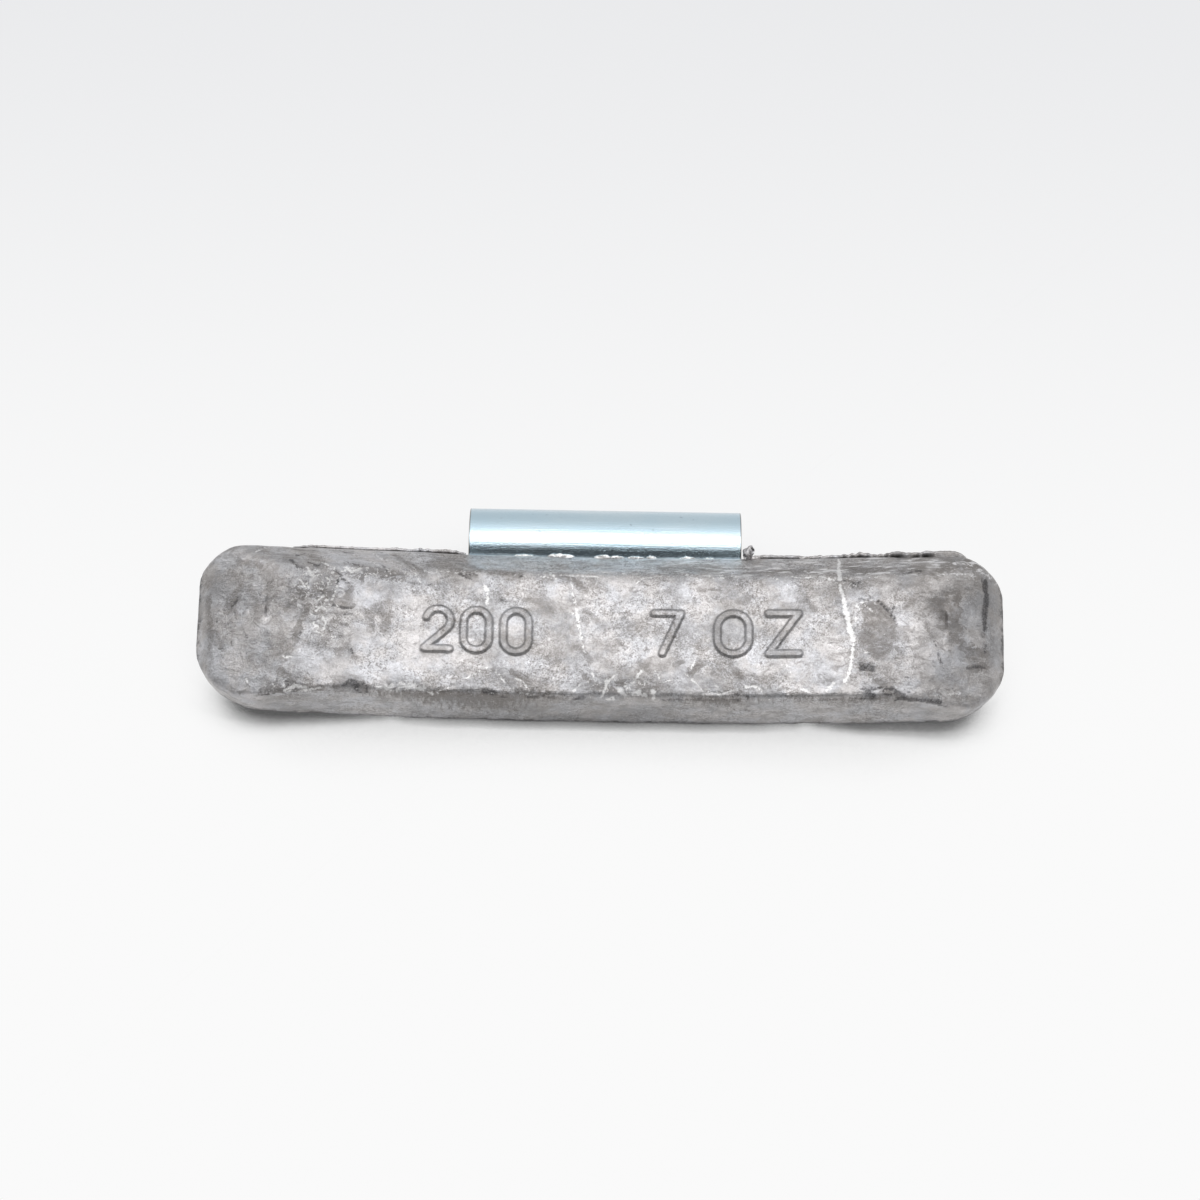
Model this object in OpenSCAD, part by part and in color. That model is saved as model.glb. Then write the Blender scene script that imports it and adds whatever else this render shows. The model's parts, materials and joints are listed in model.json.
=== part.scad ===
// Clip-on wheel balance weight for a truck rim.
// A lead bar is cast round the leg of a sprung steel clip. The clip hooks over the lip of
// the rim flange, and the back of the bar follows the inside of the flange.
// The weight is modelled as it lies on a flat surface, face up: the lower edge of the lead
// and the free end of the clip touch the surface at z = 0. X runs along the bar, and the
// origin is under the middle of the whole weight.

/* [Lead bar] */
// Length over the two ends
lead_len = 105; // [80:1:150]
// Height from the lower edge to the land that the clip comes out of
lead_h = 21.5; // [19:0.1:30]
// Thickness along the lower edge
foot_t = 10.2; // [7:0.1:13]
// Thickness at the crease under the upper bevel
shoulder_t = 8.2; // [6:0.1:12]
// Height of the upper bevel, measured down from the land
bevel_h = 3.75; // [2:0.05:6]
// Distance from the back to the front edge of the land
ridge_t = 4; // [3.9:0.1:5.5]
// Lean of the lower wall, from the mould's draft
draft = 5.5; // [0:0.1:10]
// Radius of the rim that the back follows
rim_r = 286; // [180:1:400]
// Softness of the cast edges
edge_r = 0.8; // [0.3:0.1:1.2]

/* [Ends of the bar] */
// Length of the sloping facet at the left end
left_facet = 14; // [6:0.1:20]
// Length of the sloping facet at the right end
right_facet = 11.6; // [6:0.1:20]
// Thickness left where the facet meets the end wall
end_t = 2.8; // [2:0.1:5]
// Run of the steep end wall
end_run = 2.1; // [0.5:0.1:4]
// Radius of the two lower corners, seen on the face
low_corner_r = 8.6; // [3:0.1:9.5]
// Radius of the two upper corners, seen on the face
top_corner_r = 7; // [3:0.1:9]

/* [Spring clip] */
// Width of the strip along the bar
clip_w = 36; // [20:0.5:50]
// How far the clip sits off the middle of the bar
clip_shift = 0.4; // [-3:0.1:3]
// Thickness of the strip
clip_t = 1.5; // [1:0.1:2]
// Inside radius of the curl that goes over the rim lip
curl_r = 4; // [3.5:0.1:5]
// How far the curl leans out over the lead before the neck turns down
front_lean = 25; // [10:1:35]
// How far the curl closes past the straight back
back_close = 15; // [0:1:25]
// Bend radius of the neck inside the lead
neck_r = 3.2; // [2:0.1:5]
// Depth under the land at which the leg runs straight
neck_depth = 1.35; // [1:0.1:2.5]
// Straight stretch of the free end
tip_run = 2.2; // [1:0.1:4]
// Bend radius of the flared tip
tip_r = 1.6; // [1:0.1:3]
// Angle of the flared tip
tip_flare = 40; // [20:1:60]

/* [Grip of the lead on the clip] */
// Depth of the leg under the land
leg_depth = 13.5; // [11:0.1:16]
// Lead between the leg and the back of the bar
leg_cover = 1.7; // [1.4:0.1:2]
// Bore of each hole that the lead fills
hole_d = 5; // [3:0.1:6]
// Spacing of the two holes
hole_pitch = 18; // [10:0.5:24]
// Steel left between a hole and the end of the leg
hole_edge = 2.5; // [1.5:0.1:3.5]
// Gap between the hollow for the rim lip and the inside of the curl
seat_gap = 0.3; // [0.2:0.05:0.5]

/* [Hidden] */
$fn = 96;

// Facets on a rounded edge
edge_steps = 4;

// The neck and the straight of the free end run this far into the stretches beside them,
// and are thinner by a hair on each side, so that the strip joins up as one piece
lap = 0.12;
hair = 0.005;

// Section of the bar across its length, as [height, distance from the back]
crease_low = [foot_t * tan(draft), foot_t];
crease_top = [lead_h - bevel_h, shoulder_t];
ridge = [lead_h, ridge_t];

// Section of the clip, in the same coordinates
curl_out = curl_r + clip_t;
lean_a = 90 + front_lean;
back_a = -90 - back_close;
neck_c = [lead_h - neck_depth, leg_cover + clip_t + neck_r];
curl_c = neck_c - (curl_out + neck_r) * along(lean_a);
leg_end = lead_h - leg_depth;
hole_h = leg_end + hole_edge + hole_d / 2;

// Outer and inner corner of the clip's free end
flare_c = curl_c + (curl_out + tip_r) * along(back_a) + tip_run * along(back_a - 90);
tip_a = back_a + 180 + tip_flare;
tip_out = flare_c + tip_r * along(tip_a);
tip_in = flare_c + (tip_r + clip_t) * along(tip_a);

// The bar rocks back until the clip touches the surface that its lower edge lies on
rest_tilt = max(
    asin(curl_out / norm(curl_c)) - heading(curl_c),
    -heading(tip_out),
    -heading(tip_in)
);

// Corners of the bar's end profile, as [distance from the middle, distance from the back]
end_foot = [lead_len / 2, rise(lead_len / 2, 0)];
end_brow = end_foot + [-end_run, end_t];
left_ridge = facet_ridge(left_facet);
right_ridge = facet_ridge(right_facet);

// Middle of the whole weight, front to back
front_y = crease_low[0] * cos(rest_tilt) - max(left_ridge[1], right_ridge[1]) * sin(rest_tilt);
rear_y = curl_c[0] * cos(rest_tilt) - curl_c[1] * sin(rest_tilt) + curl_out;
mid_y = (front_y + rear_y) / 2;

// Unit vector at an angle, and the angle of a vector
function along(a) = [cos(a), sin(a)];
function heading(v) = atan2(v[1], v[0]);

// Distance from the back's lowest line to a surface at thickness t, x along the bar
function rise(x, t) = rim_r - sqrt((rim_r - t) * (rim_r - t) - x * x);

// Start of a facet on the lower crease, and where its slope comes out above the bar
function facet_ridge(run) =
    let (x = end_brow[0] - run)
    [x, rise(x, foot_t)];

// Half of the bar's end profile, from under its foot to well above its face
function half_profile(facet) =
    let (top = facet + (facet - end_brow) * foot_t / norm(facet - end_brow))
    [end_foot + [0, -foot_t], end_foot, end_brow, top, top + [0, foot_t]];

// Arc that rounds the corner b between its neighbours a and c
function corner_arc(a, b, c, r, steps) =
    let (
        to_a = (a - b) / norm(a - b),
        to_c = (c - b) / norm(c - b),
        half = acos(to_a * to_c) / 2,
        mid = (to_a + to_c) / norm(to_a + to_c),
        centre = b + mid * r / sin(half),
        first = heading(b + to_a * r / tan(half) - centre),
        last = heading(b + to_c * r / tan(half) - centre),
        turn = last - first > 180 ? last - first - 360
             : last - first < -180 ? last - first + 360
             : last - first
    )
    [for (k = [0 : steps]) centre + r * along(first + turn * k / steps)];

// Outline whose corners are rounded by a list of radii
function rounded(points, radii, steps) =
    let (n = len(points))
    [for (i = [0 : n - 1])
        each corner_arc(points[(i + n - 1) % n], points[i], points[(i + 1) % n], radii[i], steps)];

// The weight's own frame, laid down on the surface
module laid_down() {
    translate([0, -mid_y, 0]) rotate([rest_tilt, 0, 0]) children();
}

// Section of the bar, with the hollow that the rim lip sits in
module bar_section() {
    difference() {
        polygon(rounded(
            [[0, 0], crease_low, crease_top, ridge, [lead_h, 0]],
            [edge_r / 2, edge_r, edge_r, edge_r / 2, edge_r / 2],
            edge_steps
        ));
        translate(curl_c) circle(curl_r + seat_gap);
    }
}

// The section swept round the wheel's axis, which lies in front of the face
module bar_sweep() {
    half_a = asin(lead_len / 2 / (rim_r - foot_t)) + 1;
    translate([0, 0, rim_r])
        rotate([-90, 0, 0])
            rotate([0, 0, 90 - half_a])
                rotate_extrude(angle = 2 * half_a, $fn = 360)
                    translate([rim_r, 0])
                        rotate(90)
                            bar_section();
}

// What is cut away outside a rounded corner
module corner_waste(r) {
    difference() {
        translate([-1, -1]) square(r + 1);
        translate([r, r]) circle(r);
    }
}

// Outline of the bar, seen on its face
module bar_outline() {
    difference() {
        translate([-lead_len / 2, -1]) square([lead_len, lead_h + 2]);
        for (side = [0, 1]) mirror([side, 0]) {
            translate([-lead_len / 2, 0]) corner_waste(low_corner_r);
            translate([-lead_len / 2, lead_h]) mirror([0, 1]) corner_waste(top_corner_r);
        }
    }
}

// Outline of the bar, seen along its lower edge: end walls and sloping facets
module bar_profile() {
    left = half_profile(left_ridge);
    points = concat(
        half_profile(right_ridge),
        [for (i = [len(left) - 1 : -1 : 0]) [-left[i][0], left[i][1]]]
    );
    polygon(rounded(points, [for (point = points) edge_r], edge_steps));
}

// The casting before the clip takes its place in it
module bar_blank() {
    intersection() {
        bar_sweep();
        translate([0, 0, -foot_t]) linear_extrude(4 * foot_t) bar_outline();
        translate([0, lead_h + 1, 0]) rotate([90, 0, 0]) linear_extrude(lead_h + 2) bar_profile();
    }
}

// Bent stretch of the strip, from one angle to a larger one. A thin one laps its neighbours.
module bent(r, from_a, to_a, thin = false) {
    skin = thin ? hair : 0;
    spare = thin ? lap / (r + clip_t) * 180 / PI : 0;
    first_a = from_a - spare;
    turn = to_a + spare - first_a;
    steps = ceil(turn / 60);
    intersection() {
        difference() {
            circle(r + clip_t - skin);
            circle(r + skin);
        }
        polygon([
            [0, 0],
            for (k = [0 : steps]) 3 * (r + clip_t) * along(first_a + turn * k / steps)
        ]);
    }
}

// Section of the strip: leg, neck, curl, free end and flared tip
module clip_section() {
    translate([leg_end, leg_cover]) square([neck_c[0] - leg_end, clip_t]);
    translate(neck_c) bent(neck_r, -90, front_lean - 90, thin = true);
    translate(curl_c) {
        bent(curl_r, back_a, lean_a);
        rotate(back_a) {
            translate([curl_r + hair, -tip_run - lap]) square([clip_t - 2 * hair, tip_run + 2 * lap]);
            translate([curl_out + tip_r, -tip_run]) bent(tip_r, 180, 180 + tip_flare);
        }
    }
}

// The clip before it is laid down with the lead
module clip_shape() {
    translate([clip_shift, 0, 0]) difference() {
        translate([-clip_w / 2, 0, 0])
            rotate([90, 0, 90])
                linear_extrude(clip_w)
                    clip_section();
        for (side = [-1, 1])
            translate([side * hole_pitch / 2, hole_h, 0])
                cylinder(h = 2 * (leg_cover + clip_t), d = hole_d);
    }
}

// Cast lead bar, moulded round the clip's leg and through its holes
module lead_body() {
    color([0.74, 0.74, 0.73])
        laid_down()
            difference() {
                bar_blank();
                clip_shape();
            }
}

// Zinc plated spring steel clip
module steel_clip() {
    color([0.78, 0.84, 0.88])
        laid_down()
            clip_shape();
}

lead_body();
steel_clip();
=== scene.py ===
"""Looks of a clip-on wheel balance weight: a cast lead bar with a sprung steel clip."""

import json
import math

import bmesh
import bpy
import numpy as np
from mathutils import Matrix, Vector, noise


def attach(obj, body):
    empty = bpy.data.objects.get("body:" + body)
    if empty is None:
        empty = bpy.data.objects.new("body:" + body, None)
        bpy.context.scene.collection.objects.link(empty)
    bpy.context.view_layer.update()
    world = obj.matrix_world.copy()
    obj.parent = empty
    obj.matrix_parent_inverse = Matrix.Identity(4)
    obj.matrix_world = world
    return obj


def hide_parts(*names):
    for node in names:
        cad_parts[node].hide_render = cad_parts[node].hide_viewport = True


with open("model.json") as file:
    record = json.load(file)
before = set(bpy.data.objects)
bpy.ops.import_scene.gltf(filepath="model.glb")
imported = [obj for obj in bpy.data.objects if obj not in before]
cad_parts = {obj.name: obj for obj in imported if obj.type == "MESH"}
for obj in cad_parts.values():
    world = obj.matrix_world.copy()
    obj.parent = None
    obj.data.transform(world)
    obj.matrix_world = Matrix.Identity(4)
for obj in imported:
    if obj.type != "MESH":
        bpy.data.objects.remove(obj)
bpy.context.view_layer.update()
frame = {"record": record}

# Steel clip. A strip of spring steel is blanked, pierced twice for the lead to key into,
# rolled into a curl that grips the lip of the rim, and zinc plated with a blue passivate.
# It is drawn in the weight's own frame, in millimetres: X along the bar, Y from its lower
# edge up to the clip, Z out of its face. The seat mount says how that frame lies.
MM = 0.001
STRIP_WIDTH = 36.0
STRIP_SHIFT = 0.4
STRIP_THICK = 1.5
LEG_END = 8.0
LEG_COVER = 1.7
NECK_CENTRE = (20.15, 6.4)
CURL_CENTRE = (23.827, -1.485)
CURL_RADIUS = 4.0
CURL_FROM, CURL_TO = 115.0, -105.0
TIP_RUN = 2.2
TIP_RADIUS = 1.6
TIP_TURN = 40.0
HOLE_BORE = 5.0
HOLE_PITCH = 18.0
HOLE_HEIGHT = 13.0
SHEARED_EDGE = 0.13

mounts = {mount["name"]: mount for mount in frame["record"]["mounts"]}
SEAT_HEIGHT = 10.0
along_bar = Vector((1, 0, 0))
out_of_face = -Vector(mounts["flange_seat"]["axis"])
up_the_bar = out_of_face.cross(along_bar)
laid = Matrix((along_bar, up_the_bar, out_of_face)).transposed().to_4x4()
laid.translation = Vector(mounts["flange_seat"]["pos_m"]) - up_the_bar * SEAT_HEIGHT * MM
laid = laid @ Matrix.Scale(MM, 4)


def placed(name, data):
    """Makes an object of a mesh, a lamp or a camera, and puts it in the scene."""
    thing = bpy.data.objects.new(name, data)
    bpy.context.scene.collection.objects.link(thing)
    return thing


def mesh_of(bm, name):
    """Makes a mesh of a bmesh, which it uses up."""
    mesh = bpy.data.meshes.new(name)
    bm.to_mesh(mesh)
    bm.free()
    return mesh


def laid_down(name, bm, material, sharp=35.0):
    """Makes a piece of a bmesh that is drawn in the weight's own frame, and lets it ride."""
    bmesh.ops.transform(bm, matrix=laid, verts=bm.verts)
    mesh = mesh_of(bm, name)
    mesh.shade_smooth()
    mesh.set_sharp_from_angle(angle=math.radians(sharp))
    mesh.materials.append(material)
    piece = placed(name, mesh)
    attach(piece, "root")
    return piece


def with_modifier(bm, kind, **settings):
    """A new bmesh: the given one after one modifier."""
    mesh = mesh_of(bm, "work")
    work = placed("work", mesh)
    modifier = work.modifiers.new("work", kind)
    for setting, value in settings.items():
        setattr(modifier, setting, value)
    shaped = work.evaluated_get(bpy.context.evaluated_depsgraph_get()).to_mesh()
    bm = bmesh.new()
    bm.from_mesh(shaped)
    bpy.data.objects.remove(work)
    bpy.data.meshes.remove(mesh)
    return bm


def cut_out(bm, tool_mesh, solver):
    """A new bmesh: the given one less the shape of a mesh."""
    tool = placed("tool", tool_mesh)
    bm = with_modifier(bm, "BOOLEAN", operation="DIFFERENCE", solver=solver, object=tool)
    bpy.data.objects.remove(tool)
    return bm


def heading(degrees, length=1.0):
    """A step in the plane across the bar, from the way up the bar towards out of its face."""
    turn = math.radians(degrees)
    return Vector((0, length * math.cos(turn), length * math.sin(turn)))


def strip_bent(bm, end, centre, degrees, steps):
    """Rolls the strip on from its end face round a centre, and gives the new end."""
    rolled = bmesh.ops.spin(
        bm, geom=end, cent=centre, axis=along_bar, angle=math.radians(degrees),
        steps=steps, use_merge=False, use_duplicate=False, use_normal_flip=False,
    )
    return [part for part in rolled["geom_last"] if isinstance(part, bmesh.types.BMFace)]


def strip_drawn(bm, end, step):
    """Draws the strip straight on from its end face, and gives the new end."""
    drawn = bmesh.ops.extrude_face_region(bm, geom=end)["geom"]
    bmesh.ops.translate(bm, vec=step, verts=[v for v in drawn if isinstance(v, bmesh.types.BMVert)])
    return [part for part in drawn if isinstance(part, bmesh.types.BMFace)]


strip = bmesh.new()
half_width = STRIP_WIDTH / 2
low, high = LEG_COVER, LEG_COVER + STRIP_THICK
leg_face = strip.faces.new([
    strip.verts.new((STRIP_SHIFT + x * half_width, LEG_END, z))
    for x, z in ((-1, low), (-1, high), (1, high), (1, low))
])
curl_centre = Vector((0, *CURL_CENTRE))
tip_centre = (
    curl_centre
    + heading(CURL_TO, CURL_RADIUS + STRIP_THICK + TIP_RADIUS)
    + heading(CURL_TO - 90, TIP_RUN)
)
grown_end = strip_drawn(strip, [leg_face], (0, NECK_CENTRE[0] - LEG_END, 0))
grown_end = strip_bent(strip, grown_end, Vector((0, *NECK_CENTRE)), CURL_FROM - 90, 8)
grown_end = strip_bent(strip, grown_end, curl_centre, CURL_TO - CURL_FROM, 88)
grown_end = strip_drawn(strip, grown_end, heading(CURL_TO - 90, TIP_RUN))
strip_bent(strip, grown_end, tip_centre, TIP_TURN, 16)
left_inside = [face for face in strip.faces if all(len(edge.link_faces) > 2 for edge in face.edges)]
bmesh.ops.delete(strip, geom=left_inside, context="FACES_ONLY")
bmesh.ops.recalc_face_normals(strip, faces=strip.faces)
sheared = [edge for edge in strip.edges if edge.calc_face_angle(0) > math.radians(60)]
bmesh.ops.bevel(
    strip, geom=sheared, offset=SHEARED_EDGE, offset_type="OFFSET", segments=3,
    profile=0.5, affect="EDGES", material=-1, clamp_overlap=True,
)
punch = bmesh.new()
for side in (-1, 1):
    bmesh.ops.create_cone(
        punch, cap_ends=True, segments=48, radius1=HOLE_BORE / 2, radius2=HOLE_BORE / 2,
        depth=4 * STRIP_THICK,
        matrix=Matrix.Translation((STRIP_SHIFT + side * HOLE_PITCH / 2, HOLE_HEIGHT, LEG_COVER)),
    )
strip = cut_out(strip, mesh_of(punch, "punch"), "EXACT")
clip_solid = bpy.data.meshes.new("clip_solid")
strip.to_mesh(clip_solid)


def fed(tree, made, links):
    """Gives a node its inputs, by name or number: a value each, or the socket of another node."""
    for socket, source in links.items():
        if isinstance(source, bpy.types.NodeSocket):
            tree.links.new(source, made.inputs[socket])
        else:
            made.inputs[socket].default_value = source


def node(tree, kind, links=None, **values):
    """Adds a shader node with its settings and its inputs."""
    made = tree.nodes.new(kind)
    for name, value in values.items():
        setattr(made, name, value)
    fed(tree, made, links or {})
    return made


def plain_finish(name):
    """A new material: its tree, its shader and the place of a point in metres."""
    material = bpy.data.materials.new(name)
    material.use_nodes = True
    tree = material.node_tree
    place = node(tree, "ShaderNodeTexCoord").outputs["Object"]
    return material, tree, tree.nodes["Principled BSDF"], place


def bare_finish(name):
    """The same, with the place of a point in the weight's own frame and in millimetres."""
    material, tree, shader, place = plain_finish(name)
    back = laid.inverted()
    place = node(tree, "ShaderNodeMapping", {
        "Vector": place,
        "Location": back.translation,
        "Rotation": back.to_euler(),
        "Scale": (1 / MM, 1 / MM, 1 / MM),
    }).outputs["Vector"]
    return material, tree, shader, place


def cloud(tree, place, size, detail=4.0, rough=0.55, bend=0.0, stretch=(1, 1, 1), shift=0.0):
    """Cloudy noise from about 0.3 to 0.7, with patches of a size in millimetres."""
    scaled = node(tree, "ShaderNodeMapping", {
        "Vector": place,
        "Location": (shift, 1.7 * shift, 0.6 * shift),
        "Scale": [1 / (size * part) for part in stretch],
    }).outputs["Vector"]
    return node(tree, "ShaderNodeTexNoise", {
        "Vector": scaled, "Scale": 1.0, "Detail": detail, "Roughness": rough, "Distortion": bend,
    }).outputs["Fac"]


def ramp(tree, value, low, high, start=0.0, end=1.0):
    """A soft step from the start value at low to the end value at high."""
    return node(tree, "ShaderNodeMapRange", {
        "Value": value, "From Min": low, "From Max": high, "To Min": start, "To Max": end,
    }, interpolation_type="SMOOTHSTEP").outputs["Result"]


def sums(tree, operation, first, *others):
    """A sum of one value, or of two or more that are taken in turn."""
    for other in others or (0.0,):
        first = node(tree, "ShaderNodeMath", {0: first, 1: other}, operation=operation).outputs[0]
    return first


def plus(tree, *values):
    """The sum of several values."""
    return sums(tree, "ADD", *values)


def times(tree, *values):
    """The product of several values."""
    return sums(tree, "MULTIPLY", *values)


def tinted(tree, share, first, second, blend="MIX"):
    """A colour that goes from the first to the second as the share goes from 0 to 1."""
    links = {0: share, 6: first, 7: second}
    return node(tree, "ShaderNodeMix", links, data_type="RGBA", blend_type=blend).outputs[2]


def bumped(tree, height, depth, under=None):
    """Raises the finish by a height of so many millimetres, over an earlier bump."""
    links = {"Height": height, "Strength": 1.0, "Distance": depth * MM}
    if under:
        links["Normal"] = under
    return node(tree, "ShaderNodeBump", links).outputs["Normal"]


zinc, tree, shader, place = bare_finish("zinc_plate")
passivate = ramp(tree, cloud(tree, place, 6.0, stretch=(2.5, 1, 1)), 0.35, 0.65)
plate_grain = cloud(tree, place, 0.24, detail=3.0, rough=0.75, stretch=(1.3, 1, 1))
roll_lines = cloud(tree, place, 0.5, detail=3.0, stretch=(14, 0.35, 0.35))
plate_spots = ramp(tree, cloud(tree, place, 0.45, detail=4.0, rough=0.6, bend=0.5), 0.67, 0.72)
plate_colour = tinted(tree, passivate, (0.50, 0.63, 0.705, 1), (0.55, 0.66, 0.72, 1))
plate_colour = tinted(tree, times(tree, plate_spots, 0.55), plate_colour, (0.16, 0.17, 0.18, 1))
across = node(tree, "ShaderNodeSeparateXYZ", {0: place}).outputs["X"]
across = sums(tree, "ABSOLUTE", sums(tree, "SUBTRACT", across, STRIP_SHIFT))
cut_edge = ramp(tree, across, half_width - 0.22, half_width - 0.06, 0.0, 0.8)
plate_colour = tinted(tree, cut_edge, plate_colour, (0.24, 0.215, 0.19, 1))
plate_bump = bumped(tree, plate_grain, 0.026)
fed(tree, shader, {
    "Base Color": plate_colour,
    "Metallic": 1.0,
    "Roughness": ramp(tree, plate_grain, 0.3, 0.7, 0.06, 0.22),
    "Normal": bumped(tree, roll_lines, 0.018, plate_bump),
})
clip = laid_down("sprung_clip", strip, zinc)
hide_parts("steel_clip")

# Lead bar. Lead is cast round the leg of the clip in a mould that follows the rim: the bar
# is curved, bevelled along its top and sloped at its ends, and its figures stand up from the
# face. The cast skin is uneven, cloudy and soft, and it has been knocked and rubbed.
RIM_RADIUS = 286.0
BAR_LENGTH = 105.0
END_SPARE = 0.4
LAND_HEIGHT = 21.5
FOOT_THICK = 10.2
FOOT_DRAFT = 0.982
SHOULDER_HEIGHT, SHOULDER_THICK = 17.75, 8.2
RIDGE_THICK = 4.0
SEAT_GAP = 0.3
END_THICK, END_RUN = 2.8, 2.1
BROW_SOFTNESS = 2.4
LEFT_FACET, RIGHT_FACET = 14.0, 11.6
LEFT_CORNERS, RIGHT_CORNERS = (9.4, 6.8), (8.6, 7.0)
CAST_CELL = 0.4
SKIN_DEPTHS = (0.0, 1.2, 1.6, 2.0, 2.4)
CREASE_REACH, RIM_REACH, SHARP_BACK = 1.6, 3.0, 1.4
CORNER_X, CORNER_Y, CORNER_DEPTH = 38.5, 13.0, 1.8
CREASE_PASSES, CORNER_PASSES = 6, 16
CAST_SWELL = 0.05
LOOKS_OUT = 0.3
FIGURE_REACH, RUB_REACH, CRUMPLED_SKIN = 1.15, 0.22, 0.45
FIGURE_RELIEF = 0.26
FIGURE_HALF_WIDTH = 0.70
FIGURE_WALL = 0.46

hollow_radius = CURL_RADIUS + SEAT_GAP
hollow_at_land = math.acos((LAND_HEIGHT - CURL_CENTRE[0]) / hollow_radius)
hollow_at_back = math.pi - math.asin(-CURL_CENTRE[1] / hollow_radius)
bar = bmesh.new()
section = bar.faces.new([bar.verts.new((0, y, z)) for y, z in (
    (0, 0), (FOOT_DRAFT, FOOT_THICK), (SHOULDER_HEIGHT, SHOULDER_THICK), (LAND_HEIGHT, RIDGE_THICK),
    *(
        (CURL_CENTRE[0] + hollow_radius * math.cos(turn), CURL_CENTRE[1] + hollow_radius * math.sin(turn))
        for turn in np.linspace(hollow_at_land, hollow_at_back, 8)
    ),
)])
half_turn = math.asin(BAR_LENGTH / 2 / (RIM_RADIUS - FOOT_THICK)) + math.radians(1)
wheel_axis = {"cent": (0, 0, RIM_RADIUS), "matrix": Matrix.Rotation(half_turn, 3, "Y")}
bmesh.ops.rotate(bar, verts=bar.verts, **wheel_axis)
bmesh.ops.spin(
    bar, geom=[section], cent=(0, 0, RIM_RADIUS), axis=(0, 1, 0), angle=-2 * half_turn,
    steps=72, use_merge=False, use_duplicate=False, use_normal_flip=False,
)
bmesh.ops.recalc_face_normals(bar, faces=bar.faces)


def shave(bm, point, outward):
    """Cuts off all of a solid that lies outside a plane, and closes the cut."""
    whole = bm.verts[:] + bm.edges[:] + bm.faces[:]
    cut = bmesh.ops.bisect_plane(
        bm, geom=whole, dist=1e-5, plane_co=point, plane_no=outward, clear_outer=True
    )
    edges = [part for part in cut["geom_cut"] if isinstance(part, bmesh.types.BMEdge)]
    bmesh.ops.holes_fill(bm, edges=edges, sides=0)


def back_rise(x, thick=0.0):
    """How far a surface of the bent bar stands out at x, at a thickness from its back."""
    return RIM_RADIUS - math.sqrt((RIM_RADIUS - thick) ** 2 - x * x)


end_x = BAR_LENGTH / 2 + END_SPARE
foot = (end_x, back_rise(end_x))
brow = (end_x - END_RUN, foot[1] + END_THICK)
facets = []
for side, facet, corners in ((-1, LEFT_FACET, LEFT_CORNERS), (1, RIGHT_FACET, RIGHT_CORNERS)):
    start = (brow[0] - facet, back_rise(brow[0] - facet, FOOT_THICK))
    slope = (brow[1] - start[1]) / facet
    facets.append((side, start, slope))
    for (x0, z0), (x1, z1) in ((start, brow), (brow, foot)):
        shave(bar, (side * x1, 0, z1), (side * (z0 - z1), 0, x1 - x0))
    for corner, radius, sense in ((0.0, corners[0], -1), (LAND_HEIGHT, corners[1], 1)):
        for degrees in range(9, 90, 12):
            turn = math.radians(degrees)
            way = Vector((side * math.cos(turn), sense * math.sin(turn), 0))
            spot = Vector((side * (end_x - radius), corner - sense * radius, 0)) + radius * way
            shave(bar, spot, way)
bmesh.ops.recalc_face_normals(bar, faces=bar.faces)
bmesh.ops.triangulate(bar, faces=bar.faces)
bar = with_modifier(bar, "REMESH", mode="VOXEL", voxel_size=CAST_CELL, adaptivity=0.0)
bar.verts.ensure_lookup_table()


def thickness_at(spots):
    """How far points are from the back of the bar."""
    return RIM_RADIUS - np.hypot(spots[:, 0], RIM_RADIUS - spots[:, 2])


def smoothed(bm, chosen, factor=0.5):
    """Smooths the vertices of a mesh that are chosen by a list of yes and no."""
    verts = [vert for vert, inside in zip(bm.verts, chosen) if inside]
    bmesh.ops.smooth_vert(bm, verts=verts, factor=factor, use_axis_x=True, use_axis_y=True, use_axis_z=True)


# The skin is drawn soft over the front of the bar, while its back edge stays sharp, and each
# sloping end runs into the face over a soft brow.
for depth in SKIN_DEPTHS:
    smoothed(bar, thickness_at(np.array([vert.co for vert in bar.verts])) > depth)
spots = np.array([vert.co for vert in bar.verts])
section_top = np.interp(
    spots[:, 1], (FOOT_DRAFT, SHOULDER_HEIGHT, LAND_HEIGHT), (FOOT_THICK, SHOULDER_THICK, RIDGE_THICK)
)
face_height = RIM_RADIUS - np.sqrt((RIM_RADIUS - section_top) ** 2 - spots[:, 0] ** 2)
wander = 0.7 * np.array([noise.noise(Vector((0.10 * x, 0.21 * y, 1))) for x, y, _ in spots])
for side, (start_x, start_z), slope in facets:
    facet_height = start_z + slope * (side * spots[:, 0] - start_x) + wander
    meeting = np.clip(1 - np.abs(face_height - facet_height) / BROW_SOFTNESS, 0, 1)
    soft_top = np.minimum(face_height, facet_height) - BROW_SOFTNESS / 4 * meeting ** 2
    for index in np.nonzero((meeting > 0) & (spots[:, 2] > soft_top))[0]:
        bar.verts[index].co.z = soft_top[index]
for _ in range(CREASE_PASSES):
    spots = np.array([vert.co for vert in bar.verts])
    crease = np.minimum(
        np.hypot(spots[:, 1] - FOOT_DRAFT, thickness_at(spots) - FOOT_THICK),
        np.hypot(spots[:, 1] - SHOULDER_HEIGHT, thickness_at(spots) - SHOULDER_THICK) + 0.3,
    )
    rim = np.abs(spots[:, 0]) > end_x - END_RUN - RIM_REACH
    smoothed(bar, (crease < CREASE_REACH) | (rim & (thickness_at(spots) > SHARP_BACK)))
spots = np.array([vert.co for vert in bar.verts])
at_corner = (np.abs(spots[:, 0]) > CORNER_X) & (spots[:, 1] > CORNER_Y)
at_corner &= thickness_at(spots) > CORNER_DEPTH
for _ in range(CORNER_PASSES):
    smoothed(bar, at_corner)


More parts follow.
